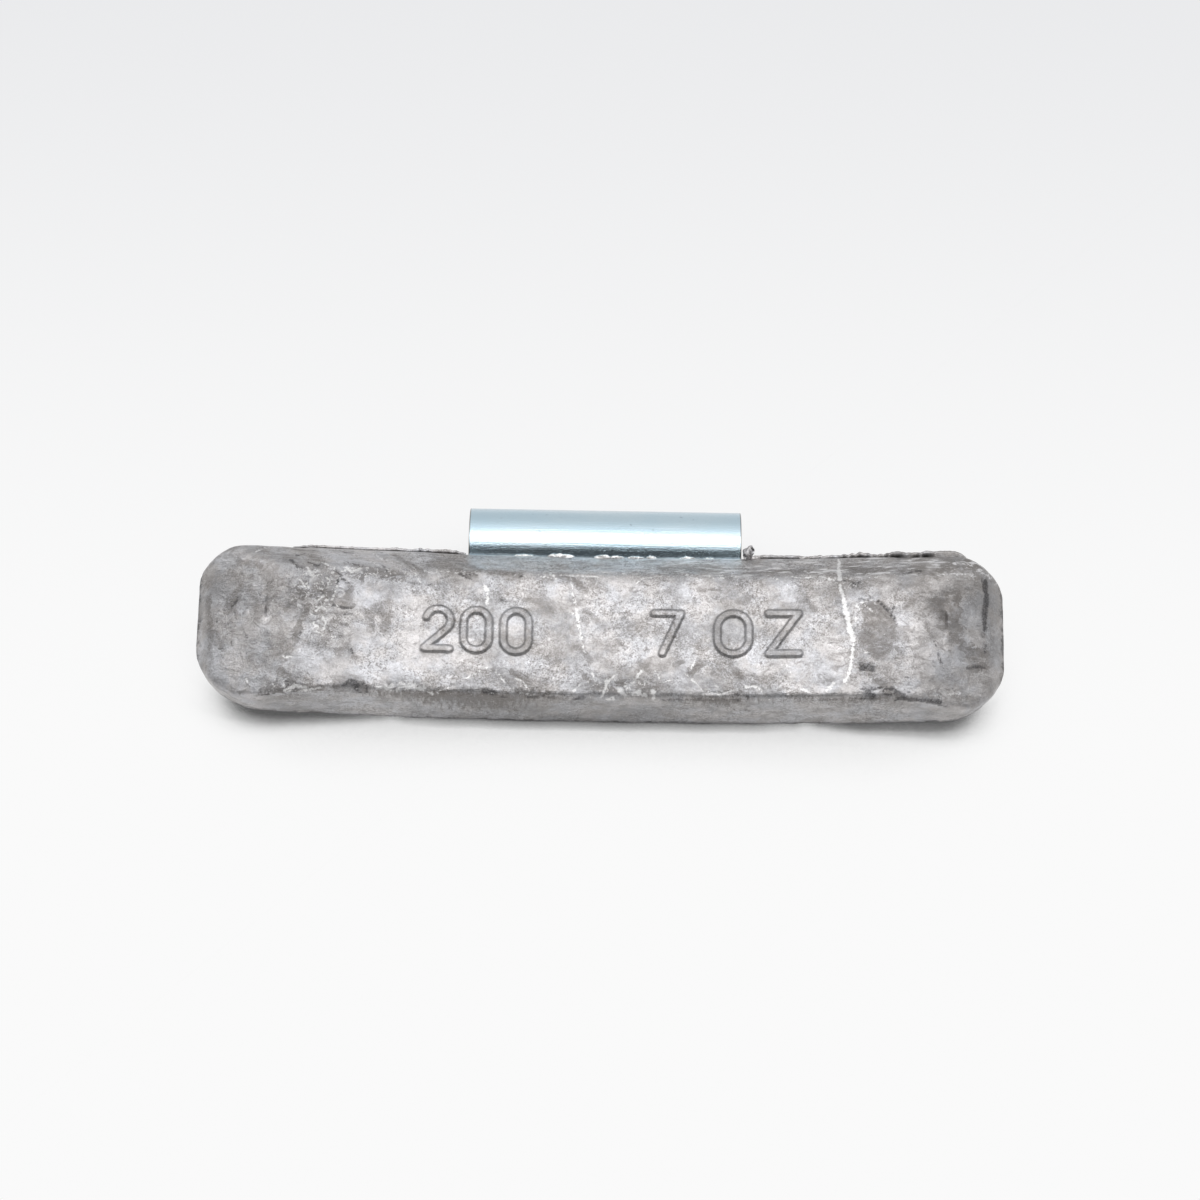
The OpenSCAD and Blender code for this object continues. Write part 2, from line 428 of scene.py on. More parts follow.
def arc(middle, radius, start, end, steps=14):
    """Points on a circle of the face, from one heading to another in degrees."""
    return [
        (
            middle[0] + radius * math.cos(math.radians(start + (end - start) * k / steps)),
            middle[1] + radius * math.sin(math.radians(start + (end - start) * k / steps)),
        )
        for k in range(steps + 1)
    ]


def oval(left, right, bottom, top):
    """A closed oval with straight sides, as the mould cutter draws a nought or an O."""
    radius = (right - left) / 2
    middle = (left + right) / 2
    over = arc((middle, top - radius), radius, 0, 180)
    under = arc((middle, bottom + radius), radius, 180, 360)
    return over + under + over[:1]


# The mass is raised on the face twice, in grams to the left and in ounces to the right.
figures = [
    arc((-20.99, 10.93), 1.6, 165, -40) + [(-22.75, 7.05), (-19.45, 7.05)],
    oval(-17.70, -14.42, 7.00, 12.50),
    oval(-12.56, -9.28, 6.90, 12.50),
    [(6.9, 12.6), (10.4, 12.6), (8.0, 7.1)],
    oval(15.1, 19.2, 7.05, 12.65),
    [(21.7, 12.6), (25.6, 12.6), (21.7, 7.1), (25.6, 7.1)],
]

# Marks on the face, each the x and y of its two to four points and then half its width at its
# two ends. Rubs are bright metal where something has struck or dragged over the lead, soot is
# dark dressing from the mould that sits in hollows and folds, and films are brownish smears.
rubs = [
    (31, 21, 30.9, 19, 30.9, 17.4, 0.22, 0.26),
    (30.9, 16.5, 31.4, 14.7, 31.7, 12.8, 32.1, 10.6, 0.22, 0.4), (32.1, 10.6, 32.6, 8.9, 0.42, 0.3),
    (32.5, 8.2, 32.4, 6.7, 32, 4.5, 31.6, 3.1, 0.23, 0.19),
    (-4, 17.4, -3.7, 15.4, -3.2, 12.9, 0.07, 0.15),
    (-3.2, 12.9, -2.9, 11.2, -2.6, 9.6, -2, 7.1, 0.24, 0.07),
    (-20.9, 1.2, -18.6, 2.1, -16.9, 3.3, -14.5, 4.7, 0.08, 0.05),
    (-15.2, 15.9, -14.7, 15.1, 0.25, 0.27), (-14.7, 14.3, -14.9, 13.4, 0.27, 0.21),
    (-28.6, 1.6, -28.1, 1.5, 0.17, 0.13), (-27.4, 1.8, -26.8, 1.2, 0.16, 0.16),
    (-25.9, 1.3, -25.6, 2.3, -25.1, 1.6, 0.13, 0.16), (-24.8, 2.6, -24.3, 1.8, -23.1, 1.5, 0.13, 0.17),
    (-22.4, 1.3, -21.3, 1, 0.11, 0.08), (2.6, 2, 3.4, 1.2, 0.35, 0.21),
    (4.3, 1.5, 5.1, 1.8, 0.21, 0.32), (5.7, 1.5, 6.1, 1.4, 0.27, 0.19), (6.9, 1.9, 7, 1.1, 0.35, 0.21),
    (1, 0.9, 1.8, 1, 0.16, 0.21), (5.3, 4.5, 4.4, 3.2, 3.5, 2.1, 0.19, 0.08),
    (-1, 4.4, -0.5, 2.6, 0.15, 0.07), (0.9, 3.3, 0.8, 2.2, 0.2, 1, 0.29, 0.11),
    (2.2, 4.3, 0.8, 2.9, 0.08, 0.2), (-3.3, 1.7, -2.5, 2.7, 0.19, 0.08),
    (13.2, 1.6, 14.4, 1.8, 15.7, 1.6, 0.13, 0.21), (15.7, 1.6, 17.1, 2.1, 0.24, 0.13),
    (11.1, 4.3, 12.1, 3.3, 13.2, 2.1, 0.12, 0.08), (12.2, 6.2, 11.5, 4.4, 0.09, 0.13),
    (14.9, 2.8, 15.5, 2.1, 0.16, 0.07), (-13.4, 4.2, -12.4, 3.1, -11.9, 2.5, 0.12, 0.09),
    (-10.8, 3.3, -9.8, 2.8, -9.2, 1.9, 0.15, 0.11), (-11.2, 1.9, -10.1, 1.4, -8.4, 1.2, 0.12, 0.05),
    (-6.7, 18.5, -6, 17.2, 0.12, 0.12), (-5.4, 17.8, -3.1, 17.7, 0.07, 0.11),
    (-2.4, 17.7, -0.2, 17.6, 0.08, 0.12), (-0.6, 18.5, 1.1, 18.4, 0.07, 0.07),
    (1.9, 18.4, 3.2, 18.2, 0.04, 0.05), (10.2, 18.1, 11.3, 18.1, 0.09, 0.09),
    (13.2, 18.1, 14.3, 17.9, 0.12, 0.09), (15.1, 18.1, 15.8, 18.1, 0.12, 0.11),
    (16.9, 17.9, 17.9, 17.8, 0.11, 0.11), (24.8, 17.9, 25.3, 17.7, 0.19, 0.13),
    (26.7, 17.7, 27.5, 17.9, 0.2, 0.16), (26.4, 18.9, 27, 18.5, 0.09, 0.07),
    (28.4, 17.9, 29.4, 17.5, 30.2, 17.2, 0.12, 0.11), (4.5, 16.8, 5.5, 17.5, 6.7, 17.7, 0.13, 0.08),
    (33.7, 14.1, 34.6, 13.3, 35.6, 12.3, 0.12, 0.05), (33.7, 14.1, 35, 14.4, 0.08, 0.04),
    (29, 2.1, 29.5, 2.4, 30, 3, 0.19, 0.21), (31.3, 3.2, 31.7, 3.7, 0.24, 0.19),
    (-45.1, 19.9, -43.9, 20.9, 0.09, 0.05), (-30, 20.7, -28.4, 19.4, 0.07, 0.07),
    (-30.1, 19.2, -28.7, 18.1, 0.07, 0.08), (-33.6, 17.1, -32.6, 17.8, -31.7, 17.4, 0.13, 0.08),
    (-38.1, 17.5, -37.5, 16.8, -36.7, 17.1, 0.16, 0.12), (-36.3, 18.5, -35.2, 17.8, 0.12, 0.07),
    (-40.6, 5.3, -39.5, 5.4, 0.17, 0.09), (-37.4, 5.2, -36.7, 5.1, 0.16, 0.09),
    (-45.4, 2.8, -45.2, 2.2, 0.12, 0.08), (-37.5, 11.3, -36.8, 10.8, 0.16, 0.08),
    (-36.2, 11.9, -35.5, 12.8, -35, 13.2, 0.12, 0.07), (-36.4, 10.2, -35.1, 10.6, 0.17, 0.09),
    (-36.6, 8.8, -35.8, 8.3, 0.13, 0.11), (-40.3, 0.9, -38.9, 1.6, -37.5, 1, 0.16, 0.13),
    (-38.7, 0.7, -37.1, 0.9, 0.13, 0.07), (-35.5, 14.7, -35, 16.4, -34.6, 17.6, 0.08, 0.05),
    (-34.6, 13.5, -34.1, 15.1, 0.07, 0.09), (18.7, 2.5, 19.9, 2.7, 20.8, 2.1, 0.21, 0.19),
    (26.1, 2.2, 27.1, 1.8, 0.2, 0.13), (23.5, 5.7, 24.4, 5.3, 0.16, 0.09),
    (37.1, 20.3, 37.9, 20.2, 0.11, 0.05), (39.9, 21.4, 40.9, 20.9, 0.11, 0.07),
    (7.1, 4.8, 7.8, 3.4, 0.11, 0.13), (8.3, 3.2, 9.3, 3.5, 0.11, 0.05),
    (34, 7.2, 34.8, 7.2, 0.11, 0.07), (32.8, 11.9, 32.9, 11.4, 0.16, 0.09),
    (33.1, 13.6, 33.3, 13, 0.17, 0.08), (-3.9, 12.6, -3.5, 12.3, 0.13, 0.08),
    (-24.9, 15.2, -24.3, 15.1, 0.11, 0.05), (-24.4, 18.4, -24.1, 17, -23.4, 16, 0.08, 0.05),
    (-21.5, 17.6, -20.9, 17.8, 0.11, 0.07), (-39.9, 0.8, -38.9, 1.5, -37.6, 1.1, 0.16, 0.21),
    (-38.3, 0.9, -36.7, 1, -35.7, 1.2, 0.13, 0.16), (-28.6, 1.6, -27.1, 1.4, -26.6, 1.8, 0.24, 0.29),
    (-25.9, 1.3, -25.3, 2, -24.5, 1.6, 0.21, 0.32), (-24.3, 2.2, -23.4, 1.5, -22.5, 1.6, 0.24, 0.27),
    (-36.7, 11.6, -36, 12.2, -35.4, 11.7, 0.21, 0.16), (-37.1, 9.9, -36.4, 9.4, 0.24, 0.16),
    (-36.5, 13, -35.8, 13.7, 0.16, 0.13), (-35.9, 11.1, -35.4, 10, -35.7, 8.9, 0.13, 0.19),
    (-37.9, 17.1, -37.3, 16.3, -37.7, 15.4, 0.21, 0.16),
    (-33.3, 17.8, -32.4, 17.1, -31.3, 17.6, 0.19, 0.21), (-39, 15.9, -38.3, 14.8, 0.13, 0.16),
]
soot = [
    (-33.1, 11.2, -32, 11.4, 0.13, 0.16), (-31.1, 2.1, -29.9, 1.8, -29.9, 1, 0.2, 0.2),
    (-31.9, 1.7, -30.7, 0.9, 0.2, 0.16), (-14.9, 1.6, -13.5, 1.3, 0.35, 0.4),
    (-12.8, 0.9, -12, 0.9, 0.2, 0.13), (-9.6, 1.1, -8.1, 1, -7, 1.2, 0.09, 0.07),
    (-6.7, 1, -5.1, 1, 0.11, 0.05), (-3.4, 0.8, -2.6, 1, -1.9, 1.2, 0.19, 0.24),
    (-1.2, 1.6, 0.5, 1.6, 0.11, 0.09), (18.5, 1.6, 19.1, 1.3, 0.25, 0.16),
    (17, 1.9, 17.8, 1.6, 0.16, 0.16), (28.2, 1, 32, 1.1, 35.8, 1.1, 0.07, 0.08),
    (7.8, 1, 12.9, 1, 18, 1, 0.05, 0.07), (-45.4, 0.2, -43.8, 0.4, -42.4, 0.5, 0.16, 0.27),
    (-42.4, 0.5, -40.7, 0.7, -38.4, 0.8, 0.16, 0.07), (-37.3, 0.9, -36, 0.9, 0.09, 0.13),
    (-40.5, 2.3, -39.5, 1.7, -40.5, 1.1, 0.12, 0.07),
    (-18.1, 17.2, -17.1, 16.8, -16, 16.4, -15.2, 15.8, 0.09, 0.08),
    (-14.7, 15.9, -13.9, 15.7, -12.9, 15.2, 0.11, 0.07),
    (-14.7, 15, -13.5, 14.6, -12.1, 13.8, 0.08, 0.11), (-13.2, 14, -12.3, 13.6, 0.11, 0.05),
    (-16.7, 14.1, -15.8, 14.1, -15.1, 13.8, 0.08, 0.07),
    (-13.7, 16.4, -12.7, 16, -11.6, 15.5, 0.08, 0.04), (-17.1, 17.7, -15, 17, 0.07, 0.05),
    (-10.7, 17.3, -10.2, 17.6, 0.12, 0.17), (-6.1, 19.1, -5.7, 19.8, 0.11, 0.05),
    (9.2, 14.4, 10.8, 14.1, 11.6, 14.2, 0.05, 0.07), (1.1, 15.8, 1.3, 14.7, 0.09, 0.05),
    (-3.2, 5.2, -3.1, 4.6, 0.2, 0.16), (12.3, 14.5, 13.1, 14, 0.05, 0.05),
    (30.3, 17, 31.2, 17.2, 31.7, 17.1, 0.11, 0.08), (32, 16.5, 32.5, 16.8, 33.1, 16.4, 0.11, 0.12),
    (32.5, 16.2, 33.5, 16.9, 0.07, 0.08), (29, 13.8, 29.8, 13.2, 0.12, 0.07),
    (30, 14, 31.3, 14.2, 32.3, 14, 0.07, 0.09), (26.5, 14.6, 27.3, 14.1, 0.05, 0.07),
    (29.4, 8.7, 30.3, 8.5, 31.6, 8.5, 0.13, 0.07), (28.7, 11.8, 29.1, 11.7, 0.11, 0.07),
    (31.5, 7.3, 31.7, 6.7, 0.12, 0.05), (33.5, 4.9, 34.8, 5.8, 0.38, 0.27),
    (34.1, 6.8, 34.8, 7.2, 0.13, 0.08), (33.6, 2.2, 35.1, 1.3, 0.27, 0.29),
    (35.9, 1.7, 39.1, 1.4, 0.19, 0.24), (38, 1, 41.7, 0.9, 43.7, 1, 0.24, 0.29),
    (39, 2.1, 39.9, 1.6, 0.13, 0.08), (39.2, 3.9, 39.7, 3.5, 0.19, 0.13),
    (42.2, 3.6, 42.8, 4.2, 0.15, 0.09), (41, 0.7, 41.8, 0.5, 0.16, 0.11),
    (43.4, 0.5, 44.8, 0.4, 0.35, 0.32), (47.1, 2.1, 47.3, 1.9, 0.13, 0.08),
    (45.3, 2.8, 45.6, 2.6, 0.11, 0.07), (49.6, 18.4, 49.9, 16.8, 50.2, 15.5, 0.21, 0.4),
    (50.1, 15.2, 49.8, 13.6, 49.8, 11.4, 0.46, 0.38), (49.6, 10.8, 49.9, 10.1, 0.16, 0.08),
    (49.9, 9.4, 49.7, 7.9, 0.19, 0.07), (49, 10.8, 49.4, 10.3, 0.11, 0.07),
    (47.2, 5.8, 48.6, 6.2, 49.7, 6.3, 0.16, 0.21), (48.4, 6.8, 49.6, 6.8, 0.12, 0.07),
    (39.1, 18, 40.2, 18.4, 41.5, 18.5, 0.16, 0.21), (41.1, 17.9, 41.6, 17.2, 0.12, 0.05),
    (37.7, 13.8, 37.9, 13.1, 0.12, 0.05), (40.1, 15.1, 40.4, 14.8, 0.11, 0.07),
    (43.5, 7.1, 43.9, 6, 0.16, 0.21), (42.6, 9.6, 43.2, 8.5, 43.6, 7.2, 0.08, 0.13),
    (34.2, 18.1, 34.8, 17.6, 0.12, 0.09), (35.8, 14.2, 37, 13, 37.8, 11.8, 0.21, 0.29),
    (37.8, 11.8, 38.4, 10.4, 0.19, 0.08), (-47.3, 11.3, -47.7, 12.7, -46.9, 13.8, 0.16, 0.2),
    (-44.4, 14.1, -43.7, 13.2, -43.7, 12.1, 0.11, 0.13), (-50, 11.3, -49.6, 10.2, 0.16, 0.07),
    (-46, 9.1, -45.4, 8, 0.13, 0.19), (-47.8, 8.4, -47.5, 7.4, 0.12, 0.08),
    (-49.5, 6.9, -48.3, 7, 0.11, 0.07), (-45.8, 6.7, -45.5, 6, 0.08, 0.05),
    (-40.1, 20.8, -35.5, 20.6, -26.4, 20.5, 0.08, 0.05),
    (-40.3, 18.6, -39.4, 17.6, -38.7, 17.4, 0.21, 0.13),
    (-38, 18.4, -36.8, 17.7, -36, 18.6, 0.16, 0.11), (-39.7, 19.6, -38.1, 20.2, 0.13, 0.08),
    (-34.8, 17.3, -33.7, 16.6, -34.2, 15.5, 0.13, 0.19),
    (-35, 12.5, -33.5, 12.2, -32.1, 12, 0.21, 0.13), (-33.7, 16.2, -32.7, 15.6, 0.17, 0.08),
    (-36.3, 14.4, -35.7, 13.7, 0.19, 0.11), (-33.3, 18.8, -32.5, 18.4, -31.1, 18.1, 0.09, 0.12),
    (-31.7, 16.4, -31.1, 16.8, 0.11, 0.08), (-28.9, 18.9, -27.7, 17.4, 0.09, 0.12),
    (-26.4, 17.6, -25.7, 17.9, -24.9, 17.6, 0.09, 0.07), (-24.6, 18.8, -24.1, 18, 0.11, 0.07),
    (-22.9, 17.6, -22.2, 17.8, 0.09, 0.05), (-21.3, 18, -20.9, 17.4, 0.08, 0.07),
    (-18.4, 17.5, -17.1, 17.4, 0.16, 0.11), (-32, 6.6, -31.6, 5.3, 0.17, 0.09),
    (-38.9, 8, -38.2, 9, 0.12, 0.07), (-35.4, 7.5, -35.1, 6.9, 0.11, 0.05),
    (-36.4, 5.5, -35.7, 5.9, 0.13, 0.05),
    (-23.5, 15.2, -22.2, 15.8, -21, 16.7, -19.7, 17.1, 0.04, 0.08),
    (-31.7, 14.6, -31.1, 13.8, 0.11, 0.08), (-28.6, 13.8, -27.3, 14.3, -26.3, 13.8, 0.05, 0.07),
    (33.4, 5.6, 34.9, 5, 0.43, 0.48), (33.1, 14.3, 33.9, 14.5, 0.11, 0.08),
    (-43.1, 0.3, -41.1, 0.6, 0.16, 0.21), (34.6, 2.4, 37.1, 2.3, 39, 1.4, 0.21, 0.29),
    (50, 18.2, 50.1, 15.5, 49.8, 12.8, 0.32, 0.46), (-32.7, 1.6, -31.9, 2.2, -31, 1.6, 0.3, 0.4),
]
films = [
    (-9.4, 14.3, -7.9, 13.8, -6.3, 12.7, 0.24, 0.19), (-2.2, 12.8, -1.1, 12.1, -0.6, 11.6, 0.11, 0.05),
    (-3.4, 7.9, -2.2, 7.1, -1.3, 5.9, 0.11, 0.07), (34.5, 13.3, 35, 11.9, 34.2, 8.9, 0.74, 0.87),
    (35.8, 13.5, 37, 11.6, 37.5, 9.4, 0.67, 0.74), (34.2, 8.9, 35.7, 6.8, 36.8, 7.7, 0.74, 0.6),
    (42.5, 17.9, 43.9, 18.6, 45.9, 19.5, 0.29, 0.19), (44, 19.4, 45.9, 19.9, 49.1, 20.1, 0.13, 0.19),
    (45.3, 20.2, 46.9, 18.9, 0.13, 0.08), (42.2, 14.5, 44.4, 14.7, 46, 14.6, 0.19, 0.29),
    (43, 13.4, 44.6, 13.9, 46.3, 14.4, 0.08, 0.16), (44.4, 13.1, 45.4, 12.7, 0.32, 0.16),
    (43.2, 10.8, 44.6, 11.1, 46.1, 11.7, 0.11, 0.21), (45, 10.3, 46, 10.3, 0.21, 0.21),
    (45.4, 9.2, 46.2, 9.2, 0.16, 0.11), (46.6, 8.4, 48.1, 8.8, 49.7, 8.3, 0.19, 0.21),
    (47.5, 7.6, 48.5, 7.3, 0.24, 0.13), (41.9, 11.4, 42.2, 10.3, 42.8, 9.4, 0.07, 0.13),
    (44.6, 15.4, 46.6, 16.1, 0.08, 0.05), (-30.2, 11.8, -29.5, 10.4, -29.6, 9.3, 0.32, 0.21),
    (-29.1, 12.1, -27.5, 11, -27.9, 9.6, 0.4, 0.47), (-27.2, 13.3, -28.6, 12.7, 0.13, 0.08),
    (-41.1, 19.3, -39.6, 18.2, -38.3, 17.6, 0.35, 0.27), (-37.8, 19.6, -35.8, 18, 0.29, 0.35),
    (-36.4, 15.1, -35.5, 13.6, 0.35, 0.27), (-38.9, 9.1, -38.2, 10.9, 0.19, 0.13),
    (-39.9, 12.9, -40.9, 11.6, 0.16, 0.08), (-20.6, 18.9, -19, 18.1, -17.1, 17.4, 0.19, 0.27),
    (-14.8, 18.1, -12.6, 17.9, -10.6, 17.5, 0.11, 0.16), (-32.5, 15, -33, 12.6, 0.29, 0.4),
    (-41, 3.4, -39.7, 2.7, -39.9, 0.9, 0.21, 0.16), (-43.3, 1.1, -41.2, 1.3, 0.19, 0.11),
    (-47.1, 18.6, -44.1, 17.7, 0.12, 0.2), (-51.2, 13.8, -50.4, 8.3, 0.11, 0.16),
    (-48.4, 11.9, -47.4, 13.5, 0.27, 0.35), (-11.3, 4.1, -9.9, 3.4, -9.2, 2.6, 0.24, 0.19),
    (17.6, 4.6, 18.2, 3.8, 0.29, 0.21), (11.6, 5.1, 12.9, 5.9, 0.21, 0.11),
    (9.8, 5.6, 10.8, 5.9, 0.19, 0.09), (6.2, 5.6, 5.7, 5, 0.13, 0.08),
    (39.2, 13.1, 40.1, 14.3, 0.13, 0.2), (32, 18, 33.6, 18.9, 36.5, 19.3, 0.13, 0.19),
    (35.1, 18.3, 37.8, 19.2, 0.11, 0.16), (38.5, 10.4, 39.5, 8.8, 0.16, 0.11),
    (38.1, 7.7, 38.7, 6.7, 0.19, 0.11), (34.6, 3.9, 37.1, 2, 0.4, 0.47),
    (26.4, 14.5, 27.7, 13.1, 0.16, 0.08), (18, 14.3, 19.1, 14.5, 0.11, 0.05),
    (12.8, 15.9, 15.4, 15.9, 0.08, 0.11), (35.1, 13.4, 36.5, 12.4, 37.2, 10.5, 0.67, 0.8),
    (35.2, 10.9, 36, 9.4, 36.5, 8, 0.94, 0.94), (34.5, 11.9, 34.7, 9.4, 0.54, 0.67),
    (43, 14.5, 44.9, 14.5, 46.3, 15.2, 0.4, 0.35), (42.9, 13.4, 44.6, 13.6, 46.3, 13.5, 0.35, 0.43),
    (43.9, 12.3, 46.1, 12.4, 0.32, 0.27), (45.4, 11.2, 46.6, 11, 0.35, 0.32),
    (45.5, 9.9, 46.6, 9.2, 0.35, 0.38), (47, 8.3, 48.4, 8.3, 49.9, 8.1, 0.27, 0.4),
    (47.8, 5.8, 49.7, 6.4, 0.27, 0.35), (43.3, 17.9, 44.4, 19, 46, 19.5, 0.4, 0.43),
    (46, 19.5, 47.7, 19.6, 49.5, 20.4, 0.4, 0.32), (38.9, 18.4, 40.3, 18.9, 41.6, 18.9, 0.35, 0.4),
    (41.5, 18.9, 41.7, 17.6, 0.27, 0.16), (31.8, 19.8, 32.9, 19.2, 34.1, 18.5, 0.4, 0.46),
    (39.7, 21.4, 41.5, 20.7, 42.9, 21.1, 0.27, 0.32), (44.1, 21, 46.1, 20.1, 48, 20.6, 0.21, 0.29),
    (-41.2, 19.3, -39.1, 18.3, -35.9, 17.8, 0.35, 0.46), (-36.2, 16.8, -35, 14.2, 0.48, 0.54),
    (-34.5, 17, -34.8, 14.8, 0.29, 0.35), (-34.5, 13.1, -32.4, 12.4, 0.43, 0.4),
    (-38, 11.9, -38.7, 9.8, -39.2, 7.9, 0.24, 0.32), (-32.5, 6.9, -31.6, 5.4, 0.21, 0.27),
    (-43.6, 0.3, -41.8, 0.5, -39.7, 0.8, 0.32, 0.38), (-39.7, 0.8, -37.5, 0.9, -35.7, 1, 0.38, 0.29),
    (-32.1, 18.1, -29.8, 17.5, -27.2, 17.4, 0.27, 0.35),
    (-27.1, 20.5, -24.7, 18.6, -23.1, 17.3, 0.21, 0.29),
    (-22.4, 18.7, -19.8, 18.7, -16.6, 17.7, 0.32, 0.4),
    (-21.2, 20, -18.5, 19.4, -15.8, 18.3, 0.19, 0.27),
    (-48.4, 12.8, -47.8, 14.1, -46.9, 14.8, 0.12, 0.16),
    (-45.5, 14.7, -44.4, 13.2, -44.6, 11.6, 0.04, 0.04), (-51, 14.3, -50.4, 10.2, -50.6, 7, 0.04, 0.08),
    (-49.9, 9.6, -48.9, 6.9, 0.02, 0.02), (-5.4, 17.8, -3.6, 17.1, -2.2, 15.7, 0.21, 0.32),
    (7.6, 19.5, 11.6, 19.1, 15.5, 19.4, 0.24, 0.32), (20.6, 18.5, 24.6, 18.9, 28.4, 18.7, 0.21, 0.29),
    (12.9, 5.7, 11.6, 4.6, 0.32, 0.4), (5.2, 5.6, 6.2, 4.8, 0.21, 0.19),
    (-1.9, 3.8, 0.1, 1.9, 0.21, 0.16), (-33.2, 1.6, -32, 2.1, -30.6, 1.4, 0.85, 0.8),
]


def drawn_mark(mark):
    """The points of a mark, and half its width at its two ends."""
    *places, first, last = mark
    return list(zip(places[::2], places[1::2])), first, last


def path_gap(points, path, thin=0.0, thick=0.0):
    """How far points of the face are outside a drawn path, in mm, less than 0 inside it."""
    gap = np.full(len(points), 1e3)
    spans = len(path) - 1
    for k in range(spans):
        start, end = np.array(path[k]), np.array(path[k + 1])
        run = end - start
        share = np.clip(((points - start) @ run) / (run @ run), 0, 1)
        away = np.hypot(*(points - start - share[:, None] * run).T)
        gap = np.minimum(gap, away - thin - (thick - thin) * (k + share) / spans)
    return gap


def seen_points(bm):
    """The places of all vertices, and how far each of them looks out of the face."""
    spots = np.array([vert.co for vert in bm.verts])
    looks = np.array([vert.normal.z for vert in bm.verts])
    return spots, looks


def finer_where(bm, near, cuts):
    """Splits the cells whose vertices are all near a drawing or a crumpled patch."""
    edges = [edge for edge in bm.edges if near[edge.verts[0].index] and near[edge.verts[1].index]]
    bmesh.ops.subdivide_edges(bm, edges=edges, cuts=cuts, use_grid_fill=True)
    bm.verts.index_update()
    bm.normal_update()


# Where the skin of the casting is crumpled: the middle of each patch, its reach along and
# up the bar, and how strong it is.
crumples = [
    (-37.0, 14.5, 4.5, 5.0, 1.0), (-34.0, 8.5, 3.5, 6.0, 0.8), (-29.0, 16.8, 6.5, 1.8, 0.9),
    (-30.5, 9.5, 5.0, 5.0, 0.35), (-40.0, 1.5, 5.0, 1.6, 0.9), (-19.0, 17.5, 4.5, 2.2, 0.7),
    (3.0, 2.6, 7.0, 1.9, 0.9), (14.0, 2.6, 6.0, 1.8, 0.6), (-11.5, 3.0, 5.0, 1.7, 0.6),
    (32.0, 16.5, 3.5, 2.2, 0.8), (37.5, 16.5, 4.0, 2.0, 0.6), (36.5, 4.5, 4.0, 3.5, 0.5),
    (-47.0, 10.0, 3.5, 6.5, 0.35), (44.5, 2.0, 6.0, 2.0, 0.7), (-25.0, 1.8, 4.0, 1.0, 0.9),
    (2.0, 17.8, 14.0, 1.0, 0.6), (22.0, 17.8, 12.0, 1.0, 0.6),
]


def crumple_at(spots):
    """How crumpled the skin is at each point, from 0 to 1."""
    crumpled = np.zeros(len(spots))
    for middle_x, middle_y, reach_x, reach_y, weight in crumples:
        away = ((spots[:, 0] - middle_x) / reach_x) ** 2 + ((spots[:, 1] - middle_y) / reach_y) ** 2
        crumpled = np.maximum(crumpled, weight * np.exp(-away * 0.8))
    return crumpled


def near_paths(bm, drawings, reach):
    """Which vertices that look out of the face are within reach of a drawing."""
    bm.normal_update()
    spots, looks = seen_points(bm)
    gap = np.min([path_gap(spots[:, :2], *drawing) for drawing in drawings], axis=0)
    return (gap < reach) & (looks > LOOKS_OUT)


figures = [(path, 0, 0) for path in figures]
rubs, soot, films = ([drawn_mark(mark) for mark in marks] for marks in (rubs, soot, films))
finer_where(bar, near_paths(bar, figures, FIGURE_REACH), 3)
finer_where(bar, near_paths(bar, rubs, RUB_REACH), 1)
spots, looks = seen_points(bar)
finer_where(bar, (crumple_at(spots) > CRUMPLED_SKIN) & (looks > LOOKS_OUT), 1)
spots, looks = seen_points(bar)
face_spots = spots[:, :2]
crumpled = crumple_at(spots)


def nearest(drawings):
    """How far each vertex that looks out of the face is outside the nearest drawing."""
    gap = np.min([path_gap(face_spots, *drawing) for drawing in drawings], axis=0)
    return np.where(looks > 0.15, gap, 9.0)


share = np.clip((FIGURE_HALF_WIDTH - nearest(figures)) / FIGURE_WALL, 0, 1)
raised = share * share * (3 - 2 * share)
rub_gap, soot_gap, film_gap = nearest(rubs), nearest(soot), nearest(films)
section_thick = thickness_at(spots)
creases = np.min([
    np.hypot(spots[:, 1] - FOOT_DRAFT, section_thick - FOOT_THICK),
    np.hypot(spots[:, 1] - SHOULDER_HEIGHT, section_thick - SHOULDER_THICK) + 0.1,
    np.hypot(spots[:, 1] - LAND_HEIGHT, section_thick - RIDGE_THICK) + 0.4,
], axis=0)

# Brown film runs down the lower wall from the crease: where along the bar, how strong it is
# and how far down it reaches.
GRIME = np.array([
    (-40.0, 0.5, 2.0), (-34.6, 0.5, 2.5), (-29.3, 0.6, 4.0), (-21.5, 0.85, 8.0), (-13.6, 1.0, 9.0),
    (-8.0, 0.6, 6.0), (-4.0, 0.3, 4.0), (4.8, 0.15, 2.0), (9.0, 0.2, 2.0), (11.5, 0.7, 4.0),
    (15.3, 0.95, 5.0), (20.5, 0.6, 4.0), (25.8, 0.45, 2.5), (33.6, 0.75, 3.0), (38.9, 0.7, 4.0),
    (46.0, 0.4, 3.0),
])
drop = FOOT_THICK - section_thick
strong = np.interp(spots[:, 0], GRIME[:, 0], GRIME[:, 1])
deep = np.interp(spots[:, 0], GRIME[:, 0], GRIME[:, 2])
above = np.maximum(0, spots[:, 1] - FOOT_DRAFT) / 0.6
grime = strong * np.clip(1.15 - drop / deep - above, 0, 1)
